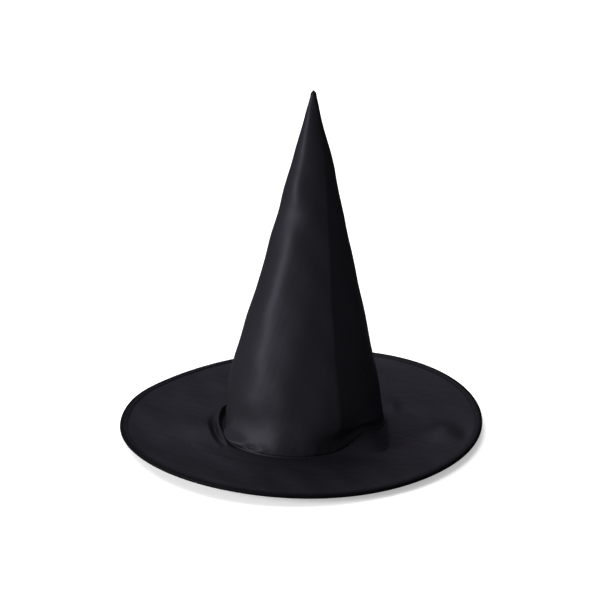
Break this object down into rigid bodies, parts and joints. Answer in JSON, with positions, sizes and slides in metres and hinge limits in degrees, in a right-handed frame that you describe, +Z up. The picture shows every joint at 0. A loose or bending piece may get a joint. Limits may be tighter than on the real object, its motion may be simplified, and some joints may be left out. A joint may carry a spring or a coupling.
{
  "type": "witch hat",
  "caption": "Tall pointed costume hat: a stiffened black cloth cone, leaning slightly at its blunt point, sewn into a round flat brim with a wired, bound edge.",
  "frame": {"origin": "middle of the brim's underside, on the surface that the hat stands on", "axes": "+Z up along the crown, -Y towards the wearer's front, +Y towards the crown's back seam and the label, +X the side that the point leans to"},
  "size_m": [0.38, 0.38, 0.365],
  "materials": {
    "cloth": "satin",
    "stiffener": "matte",
    "binding": "satin",
    "ribbon": "matte",
    "thread": "satin",
    "wire": "satin",
    "label": "satin"
  },
  "bodies": {
    "hat": {"crown_shell": "cloth", "crown_stiffener": "stiffener", "crown_seam_thread": "thread", "base_seam_thread": "thread", "sweatband": "ribbon", "sweatband_thread": "thread", "brim_bottom_cover": "cloth", "brim_stiffener": "stiffener", "brim_top_cover": "cloth", "brim_wire": "wire", "wire_ferrule": "wire", "edge_binding": "binding", "binding_needle_thread": "thread", "binding_bobbin_thread": "thread", "label_thread": "thread"},
    "label": {"care_label": "label"}
  },
  "joints": [
    {"name": "label_flap", "type": "hinge", "parent": "hat", "child": "label", "pos_m": [0.00109, 0.07862, 0.026], "axis": [-1, 0, 0], "range_deg": [-10, 100]}
  ]
}
